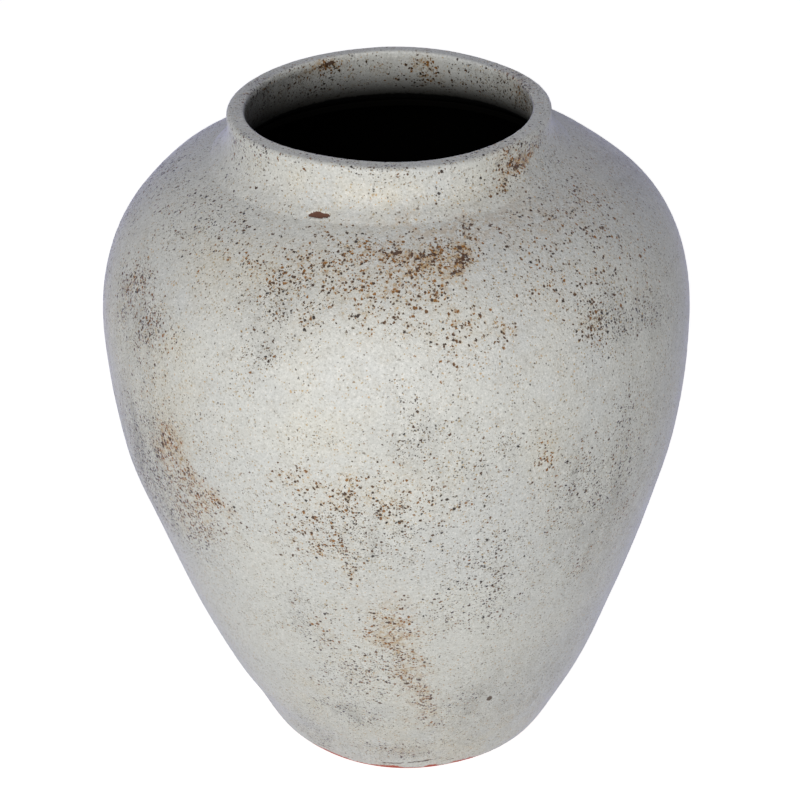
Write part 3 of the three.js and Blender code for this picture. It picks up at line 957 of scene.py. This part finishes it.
def distressed_glaze(name, bloom, gloss):
    """Matt off-white tin glaze, brushed on coarse iron-bearing earthenware and fired: the eye sees a pale,
    sandy, satin coat with cream and cool clouds, iron specks that bleed rust, and worn brown places. Out in
    the light it has a cool bloom at a low angle, and in the neck the slip takes bloom and gloss away."""
    material, tree, place = new_finish(name)
    brushed = add(tree, "ShaderNodeMapping", {
        "Vector": place, "Rotation": (0.0, STROKE_TURN, 0.0), "Scale": (1.0, 1.0, STROKE_STRETCH)})
    pattern = {}
    for index, (kind, (size, detail, roughness)) in enumerate(GLAZE_PATTERNS.items()):
        pattern[kind] = add(tree, "ShaderNodeTexNoise", {
            "Vector": brushed if kind == "stroke" else place, "W": index + 1.0, "Scale": per(size),
            "Detail": detail, "Roughness": roughness}, noise_dimensions="4D")
    worn = {kind: add(tree, "ShaderNodeAttribute", attribute_name=kind).outputs["Fac"] for kind in WEAR_AND_SHADE_KINDS}

    colour = linear(FIRST_COAT)
    for kind, held, low, high, least, most, paint in GLAZE_COATS:
        cover = add(tree, "ShaderNodeMapRange", {
            "Value": pattern[kind], "From Min": low, "From Max": high, "To Min": least, "To Max": most},
            interpolation_type="SMOOTHSTEP")
        if held:
            cover = add(tree, "ShaderNodeMath", {0: cover, 1: worn[held]}, operation="MULTIPLY")
        colour = add(tree, "ShaderNodeMix", {
            "Factor": cover, "A": colour, "B": linear(paint)}, data_type="RGBA")

    # A shake of the cells keeps the specks from being round, and worn places set how warm they are
    shake = add(tree, "ShaderNodeVectorMath", {
        0: pattern["shake"].outputs["Color"], 1: (0.5, 0.5, 0.5)}, operation="SUBTRACT")
    shaken = add(tree, "ShaderNodeVectorMath", {
        0: shake, 1: (SPECK_SHAKE * MM,) * 3, 2: place}, operation="MULTIPLY_ADD")
    warmth = 0.0
    for kind, weight in SPECK_WARMTH.items():
        warmth = add(tree, "ShaderNodeMath", {0: worn[kind], 1: weight, 2: warmth}, operation="MULTIPLY_ADD")
    swing = add(tree, "ShaderNodeMapRange", {
        "Value": pattern["clump"], "From Min": CLUMP_SPAN[0], "From Max": CLUMP_SPAN[1],
        "To Min": CLUMP_SWING[0], "To Max": CLUMP_SWING[1]})
    for cell, (least, most), shares, radii, cover, tints in GLAZE_SPECKS.values():
        cells = add(tree, "ShaderNodeTexVoronoi", {"Vector": shaken, "Scale": per(cell)})
        chance = add(tree, "ShaderNodeSeparateColor", {"Color": cells.outputs["Color"]}).outputs
        share = add(tree, "ShaderNodeMapRange", {
            "Value": pattern["patch"], "From Min": PATCH_SPAN[0], "From Max": PATCH_SPAN[1],
            "To Min": least, "To Max": most})
        for kind, weight in shares.items():
            held = add(tree, "ShaderNodeMath", {0: worn[kind], 1: weight}, operation="MULTIPLY")
            share = add(tree, "ShaderNodeMath", {0: held, 1: swing, 2: share}, operation="MULTIPLY_ADD")
        spare = add(tree, "ShaderNodeMath", {0: share, 1: chance["Red"]}, operation="SUBTRACT")
        there = add(tree, "ShaderNodeMapRange", {"Value": spare, "From Max": SPECK_FADE})
        small = add(tree, "ShaderNodeMath", {0: chance["Green"], 1: chance["Green"]}, operation="MULTIPLY")
        radius = add(tree, "ShaderNodeMapRange", {"Value": small, "To Min": radii[0], "To Max": radii[1]})
        near = add(tree, "ShaderNodeMath", {0: cells.outputs["Distance"], 1: radius}, operation="DIVIDE")
        core = add(tree, "ShaderNodeMapRange", {
            "Value": near, "From Min": 1.0, "From Max": SPECK_CORE, "To Max": cover})
        spot = add(tree, "ShaderNodeMath", {0: core, 1: there}, operation="MULTIPLY")
        tint = add(tree, "ShaderNodeMath", {0: chance["Blue"], 1: warmth}, operation="ADD")
        paint = linear(tints[0])
        for (low, high), warmer in zip(WARMTH_SPANS, tints[1:]):
            lean = add(tree, "ShaderNodeMapRange", {"Value": tint, "From Min": low, "From Max": high})
            paint = add(tree, "ShaderNodeMix", {
                "Factor": lean, "A": paint, "B": linear(warmer)}, data_type="RGBA")
        colour = add(tree, "ShaderNodeMix", {"Factor": spot, "A": colour, "B": paint}, data_type="RGBA")

    ragged = add(tree, "ShaderNodeMath", {0: pattern["ragged"], 1: 0.5}, operation="SUBTRACT")
    dry = 0.0
    for kind, raggedness, low, high, most, paint in GLAZE_EDGES:
        edge = add(tree, "ShaderNodeMath", {
            0: ragged, 1: raggedness, 2: worn[kind]}, operation="MULTIPLY_ADD")
        cover = add(tree, "ShaderNodeMapRange", {
            "Value": edge, "From Min": low, "From Max": high, "To Max": most},
            interpolation_type="SMOOTHSTEP")
        colour = add(tree, "ShaderNodeMix", {
            "Factor": cover, "A": colour, "B": linear(paint)}, data_type="RGBA")
        dry = add(tree, "ShaderNodeMath", {0: dry, 1: cover}, operation="MAXIMUM")

    # Satin where the coat is whole, drier on iron, clay and slip, with a cool bloom at a low angle
    satin = add(tree, "ShaderNodeMapRange", {
        "Value": pattern["grain"], "From Min": GRAIN_SPAN[0], "From Max": GRAIN_SPAN[1],
        "To Min": SATIN[0], "To Max": SATIN[1]})
    rough = add(tree, "ShaderNodeMath", {0: spot, 1: SPECK_ROUGHNESS, 2: satin}, operation="MULTIPLY_ADD")
    dry = add(tree, "ShaderNodeMath", {0: dry, 1: DRY_ROUGHNESS}, operation="MULTIPLY")
    rough = add(tree, "ShaderNodeMath", {0: rough, 1: dry}, operation="MAXIMUM")
    pits = add(tree, "ShaderNodeMath", {
        0: spot, 1: SPECK_PIT, 2: pattern["grain"]}, operation="MULTIPLY_ADD")
    end_finish(tree, colour, rough, pits, GRAIN_BUMP, GRAIN_DEPTH, {
        "IOR": GLAZE_IOR, "Specular IOR Level": gloss, "Sheen Weight": bloom,
        "Sheen Roughness": BLOOM_ROUGHNESS, "Sheen Tint": linear(BLOOM_COLOUR)})
    return material


# Bare clay: sizes of its patterns, colours, grit by its span in the noise, and roughness
TURNING_RING = 2.6
CLAY_GROG = 2.2
CLAY_CLOUD = 40.0
CLAY_COLOURS = ("#84523d", "#a76c50")
CLAY_GRIT = ((0.60, 0.74, "#c9a489"), (0.40, 0.28, "#5b382b"))
GRIT_COVER = 0.5
CLAY_ROUGHNESS = (0.78, 0.95)
RING_HEIGHT = 0.6
CLAY_BUMP = 0.5
CLAY_DEPTH = 0.4
CLAY_IOR = 1.45


def bare_terracotta():
    """Red earthenware, trimmed on the wheel and fired bare: the eye sees dry warm clay with fine turning
    rings and pale and dark grit."""
    material, tree, place = new_finish("terracotta_trimmed_and_fired_bare")
    cloud = add(tree, "ShaderNodeTexNoise", {"Vector": place, "Scale": per(CLAY_CLOUD), "Detail": 3.0})
    grit = add(tree, "ShaderNodeTexNoise", {"Vector": place, "Scale": per(CLAY_GROG), "Detail": 2.0})
    rings = add(tree, "ShaderNodeTexWave", {
        "Vector": place, "Scale": per(TURNING_RING) / (2 * math.pi), "Distortion": 1.2, "Detail": 2.0,
        "Detail Scale": 0.6}, wave_type="RINGS", rings_direction="Z")
    body = add(tree, "ShaderNodeMix", {
        "Factor": cloud, "A": linear(CLAY_COLOURS[0]), "B": linear(CLAY_COLOURS[1])}, data_type="RGBA")
    for low, high, paint in CLAY_GRIT:
        grain = add(tree, "ShaderNodeMapRange", {
            "Value": grit, "From Min": low, "From Max": high, "To Max": GRIT_COVER})
        body = add(tree, "ShaderNodeMix", {"Factor": grain, "A": body, "B": linear(paint)}, data_type="RGBA")
    height = add(tree, "ShaderNodeMath", {
        0: rings.outputs["Fac"], 1: RING_HEIGHT, 2: grit}, operation="MULTIPLY_ADD")
    rough = add(tree, "ShaderNodeMapRange", {
        "Value": grit, "To Min": CLAY_ROUGHNESS[0], "To Max": CLAY_ROUGHNESS[1]})
    end_finish(tree, body, rough, height, CLAY_BUMP, CLAY_DEPTH, {"IOR": CLAY_IOR})
    return material


# Dark slip, made near-black as painted shade of the unlit inside: sizes of its patterns, colours, the dust's
# span in the noise and its cover, and roughness
FINGER_MARK = 22.0
MARK_STRETCH = 0.35
SLIP_DUST = 3.0
SLIP_AND_SHADE_COLOURS = ("#020201", "#040302")
DUST_COLOUR = "#0b0907"
DUST_SPAN = (0.58, 0.78)
DUST_COVER = 0.3
SLIP_ROUGHNESS = (0.80, 0.95)
SLIP_BUMP = 0.5
SLIP_DEPTH = 0.8
SLIP_GLOSS = 0.05


def inner_slip_and_shade():
    """Dark sealing slip, swilled round the inside and fired matt, and made near-black as painted shade of the
    unlit inside: the eye sees near-black clay with faint finger marks and a dusty bloom."""
    material, tree, place = new_finish("sealing_slip_and_painted_shade_fired_matt")
    level = add(tree, "ShaderNodeMapping", {
        "Vector": place, "Scale": (MARK_STRETCH, MARK_STRETCH, 1.0)})
    marks = add(tree, "ShaderNodeTexNoise", {"Vector": level, "Scale": per(FINGER_MARK), "Detail": 3.0})
    dust = add(tree, "ShaderNodeTexNoise", {"Vector": place, "Scale": per(SLIP_DUST), "Detail": 3.0})
    body = add(tree, "ShaderNodeMix", {
        "Factor": marks, "A": linear(SLIP_AND_SHADE_COLOURS[0]), "B": linear(SLIP_AND_SHADE_COLOURS[1])}, data_type="RGBA")
    bloom = add(tree, "ShaderNodeMapRange", {
        "Value": dust, "From Min": DUST_SPAN[0], "From Max": DUST_SPAN[1], "To Max": DUST_COVER})
    body = add(tree, "ShaderNodeMix", {
        "Factor": bloom, "A": body, "B": linear(DUST_COLOUR)}, data_type="RGBA")
    height = add(tree, "ShaderNodeMath", {0: marks, 1: dust}, operation="ADD")
    rough = add(tree, "ShaderNodeMapRange", {
        "Value": dust, "To Min": SLIP_ROUGHNESS[0], "To Max": SLIP_ROUGHNESS[1]})
    end_finish(tree, body, rough, height, SLIP_BUMP, SLIP_DEPTH, {
        "IOR": CLAY_IOR, "Specular IOR Level": SLIP_GLOSS})
    return material


# The vase

TURNING = turning_tree()
RELIEF = relief_tree()
GLAZE = distressed_glaze("tin_glaze_brushed_and_worn", bloom=0.55, gloss=0.5)
NECK_GLAZE = distressed_glaze("tin_glaze_thinned_by_slip", bloom=0.0, gloss=0.1)
TERRACOTTA = bare_terracotta()
SLIP_AND_SHADE = inner_slip_and_shade()
FINISHES = {"skin": GLAZE, "neck": NECK_GLAZE, "bare": TERRACOTTA, "inside": SLIP_AND_SHADE}
PLACES = all_places()
OUTLINES = {
    "foot_ring": (foot_ring(), "bare_terracotta"),
    "base_slab": (base_slab(), "bare_terracotta"),
    "lower_wall": (lower_wall(), "distressed_glaze"),
    "belly_wall": (wall_section(LOWER_JOINT, BELLY_STATION), "distressed_glaze"),
    "shoulder_wall": (wall_section(BELLY_STATION, CREASE_STATION), "distressed_glaze"),
    "neck_collar": (neck_collar(), "distressed_glaze"),
}
RELIEF_VALUES = {size: value * MM for size, value in RELIEF_SIZES.items()} | {"Finish": GLAZE}


def set_outward(mesh):
    """Turns each row's outward direction round to its place, for the relief to push along."""
    co = get_places(mesh)
    radius = np.maximum(np.hypot(co[:, 0], co[:, 1]), TINY)
    flat = get_floats(mesh, "outward_r") / radius
    directions = np.stack([co[:, 0] * flat, co[:, 1] * flat, get_floats(mesh, "outward_z")], axis=1)
    layer = mesh.attributes.new("outward", "FLOAT_VECTOR", "POINT")
    layer.data.foreach_set("vector", directions.astype(np.float32).ravel())


skins = []
for node, (outline, slot) in OUTLINES.items():
    piece, kinds = turned_piece(node + "_glazed", outline, GLAZE)
    set_outward(piece.data)
    mark_wear(piece.data, PLACES)
    if node == "neck_collar":
        sag_lip(piece.data)
    applied(piece, *RELIEF, RELIEF_VALUES)
    skins.append((piece, finish_faces(piece, kinds, FINISHES)))
    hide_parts(node)
    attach(piece, "root")
share_normals(skins)

# The coils inside take the slip too, near-black as painted shade of the unlit inside
for coil in ("base_corner_coil", "lower_joint_coil", "belly_joint_coil", "neck_joint_coil"):
    coil_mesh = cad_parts[coil].data
    coil_mesh.materials.clear()
    coil_mesh.materials.append(SLIP_AND_SHADE)

# Camera: the photograph's view, found from the outline, the rim and the foot
CAMERA_PLACE = (0.0, -1057.8, 930.2)
CAMERA_PITCH = 31.786
CAMERA_ROLL = -2.196
CAMERA_ANGLE = 28.0


def camera():
    """The camera that took the photograph."""
    pitch = math.radians(CAMERA_PITCH)
    roll = math.radians(CAMERA_ROLL)
    ahead = Vector((0, math.cos(pitch), -math.sin(pitch)))
    level = Vector((1, 0, 0))
    above = Vector((0, math.sin(pitch), math.cos(pitch)))
    side = math.cos(roll) * level + math.sin(roll) * above
    up = math.cos(roll) * above - math.sin(roll) * level
    lens = bpy.data.cameras.new("photo_camera")
    lens.sensor_fit = "HORIZONTAL"
    lens.angle = math.radians(CAMERA_ANGLE)
    made = placed("photo_camera", lens)
    turn = Matrix((side, up, -ahead)).transposed().to_4x4()
    made.matrix_world = Matrix.Translation(Vector(CAMERA_PLACE) * MM) @ turn
    bpy.context.scene.camera = made


# One square soft lamp that looks at the belly: degrees from the front towards +X and above the floor,
# distance and size in millimetres, and watts
KEY_TURN = -11.0
KEY_RISE = 21.0
KEY_DISTANCE = 2300.0
KEY_SIZE = 1400.0
KEY_POWER = 39.2
KEY_COLOUR = "#fffcf7"
KEY_AIM = 280.0


def key_softbox():
    """Soft light from a little left of the camera, as a plain studio has it."""
    lamp = bpy.data.lights.new("key_softbox", "AREA")
    lamp.shape = "SQUARE"
    lamp.size = KEY_SIZE * MM
    lamp.energy = KEY_POWER
    lamp.color = linear(KEY_COLOUR)[:3]
    made = placed("key_softbox", lamp)
    around = math.radians(KEY_TURN)
    up = math.radians(KEY_RISE)
    back = Vector((math.sin(around) * math.cos(up), -math.cos(around) * math.cos(up), math.sin(up)))
    stand = Vector((0, 0, KEY_AIM)) + back * KEY_DISTANCE
    turn = back.to_track_quat("Z", "Y").to_matrix().to_4x4()
    made.matrix_world = Matrix.Translation(stand * MM) @ turn
    made.visible_camera = False


def seen_rays(tree):
    """1 for rays that show the background: straight to the camera, by a reflection or through glass."""
    rays = add(tree, "ShaderNodeLightPath").outputs
    glossy = add(tree, "ShaderNodeMath", {
        0: rays["Is Glossy Ray"], 1: rays["Is Transmission Ray"]}, operation="MAXIMUM")
    return add(tree, "ShaderNodeMath", {0: rays["Is Camera Ray"], 1: glossy}, operation="MAXIMUM")


AMBIENT = 0.22
WALL_COLOUR = "#f0f0f6"
MIRRORED_COLOUR = "#dfe0f0"
WHITE = "#ffffff"


def studio_world():
    """A pale room that lights the vase a little from all round and shows white behind it."""
    world = bpy.data.worlds.new("white_studio")
    bpy.context.scene.world = world
    world.use_nodes = True
    tree = world.node_tree
    tree.nodes.clear()
    strength = add(tree, "ShaderNodeMapRange", {"Value": seen_rays(tree), "To Min": AMBIENT, "To Max": 1.0})
    rays = add(tree, "ShaderNodeLightPath").outputs
    colour = add(tree, "ShaderNodeMix", {
        "Factor": rays["Is Glossy Ray"], "A": linear(WALL_COLOUR), "B": linear(MIRRORED_COLOUR)},
        data_type="RGBA")
    colour = add(tree, "ShaderNodeMix", {
        "Factor": rays["Is Camera Ray"], "A": colour, "B": linear(WHITE)}, data_type="RGBA")
    glow = add(tree, "ShaderNodeBackground", {"Color": colour, "Strength": strength})
    add(tree, "ShaderNodeOutputWorld", {"Surface": glow})


FLOOR_HALF = 6000.0
FLOOR_DROP = 0.5
FLOOR_COLOUR = "#cfcfcf"
FLOOR_ROUGHNESS = 0.9
FLOOR_GLOW = 0.84


def floor():
    """A plain white floor that keeps the vase's shadow; the glow only shows it white to the camera."""
    material, tree, _ = new_finish("paper_sweep_matt_white")
    paper = add(tree, "ShaderNodeBsdfPrincipled", {
        "Base Color": linear(FLOOR_COLOUR), "Roughness": FLOOR_ROUGHNESS})
    strength = add(tree, "ShaderNodeMath", {0: seen_rays(tree), 1: FLOOR_GLOW}, operation="MULTIPLY")
    glow = add(tree, "ShaderNodeEmission", {"Color": linear(WHITE), "Strength": strength})
    both = add(tree, "ShaderNodeAddShader", {0: paper, 1: glow})
    add(tree, "ShaderNodeOutputMaterial", {"Surface": both})
    mesh = bpy.data.meshes.new("studio_floor")
    corners = [(x * FLOOR_HALF * MM, y * FLOOR_HALF * MM, 0) for x, y in ((-1, -1), (1, -1), (1, 1), (-1, 1))]
    mesh.from_pydata(corners, [], [(0, 1, 2, 3)])
    mesh.materials.append(material)
    made = placed("studio_floor", mesh)
    made.location.z = -FLOOR_DROP * MM


camera()
key_softbox()
studio_world()
floor()
bpy.context.scene.view_settings.view_transform = "Standard"
